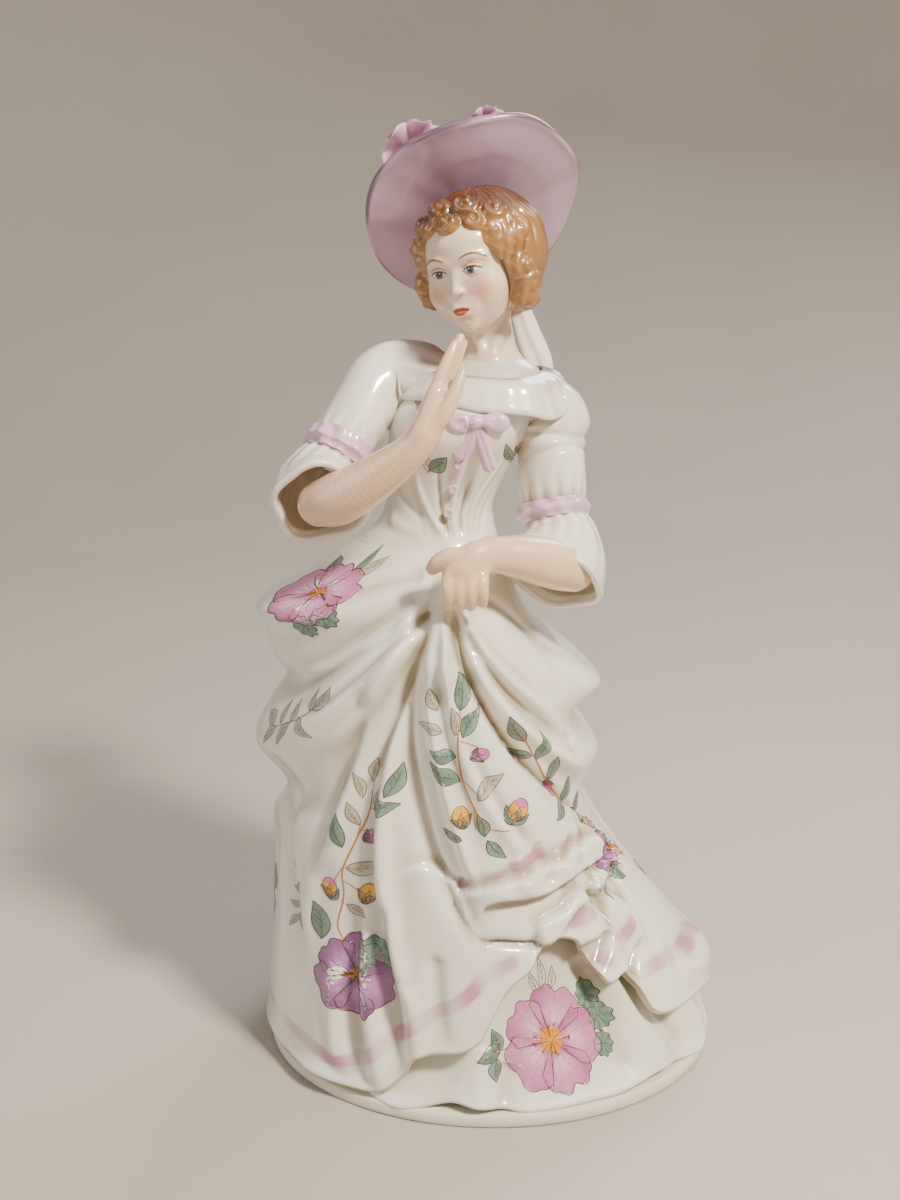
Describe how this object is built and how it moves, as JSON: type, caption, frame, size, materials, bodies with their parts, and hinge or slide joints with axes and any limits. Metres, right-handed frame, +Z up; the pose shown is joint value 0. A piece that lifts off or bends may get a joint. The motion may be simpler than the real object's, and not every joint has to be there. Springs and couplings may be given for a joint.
{
  "type": "porcelain figurine",
  "caption": "Glazed porcelain lady figurine in a wide-brimmed hat and a draped gown with painted flower sprays, a hand raised to the chin and the skirt caught up in the other.",
  "frame": {"origin": "centre of the bounding box's underside, on the surface that the foot stands on", "axes": "+Z up, -Y the way the figure faces, +X to the viewer's right from the front"},
  "size_m": [0.1034, 0.0856, 0.2007],
  "materials": {
    "white_glaze": "clear gloss glaze over white porcelain, with printed and hand-tinted flowers",
    "foot_bisque": "wiped glaze on the edge, bare unglazed ring underneath",
    "skin_glaze": "peach tint under clear gloss glaze",
    "hair_glaze": "golden brown wash under clear gloss glaze, darker in the grooves",
    "hat_glaze": "mottled lavender under clear gloss glaze",
    "trim_glaze": "thin lilac pink wash under clear gloss glaze"
  },
  "bodies": {
    "root": {"base_plinth": "foot_bisque", "petticoat_shell": "white_glaze", "overskirt_shell": "white_glaze", "bodice_shell": "white_glaze", "head_and_neck": "skin_glaze", "hair_front": "hair_glaze", "hair_bun": "hair_glaze", "hat_brim": "hat_glaze", "hat_crown": "hat_glaze", "hat_band": "trim_glaze", "hat_rose_large": "trim_glaze", "hat_rose_small": "trim_glaze", "hat_ribbon_bow": "trim_glaze", "right_sleeve": "white_glaze", "right_sleeve_ribbon": "trim_glaze", "right_cuff": "white_glaze", "right_forearm_hand": "skin_glaze", "left_sleeve": "white_glaze", "left_sleeve_ribbon": "trim_glaze", "left_cuff": "white_glaze", "left_forearm_hand": "skin_glaze", "collar": "white_glaze", "hat_ribbon_tail": "white_glaze", "chest_bow_knot": "trim_glaze", "chest_bow_loop_right": "trim_glaze", "chest_bow_loop_left": "trim_glaze", "chest_bow_tail_right": "trim_glaze", "chest_bow_tail_left": "trim_glaze", "bodice_button_1": "trim_glaze", "bodice_button_2": "trim_glaze", "bodice_button_3": "trim_glaze"}
  },
  "joints": []
}
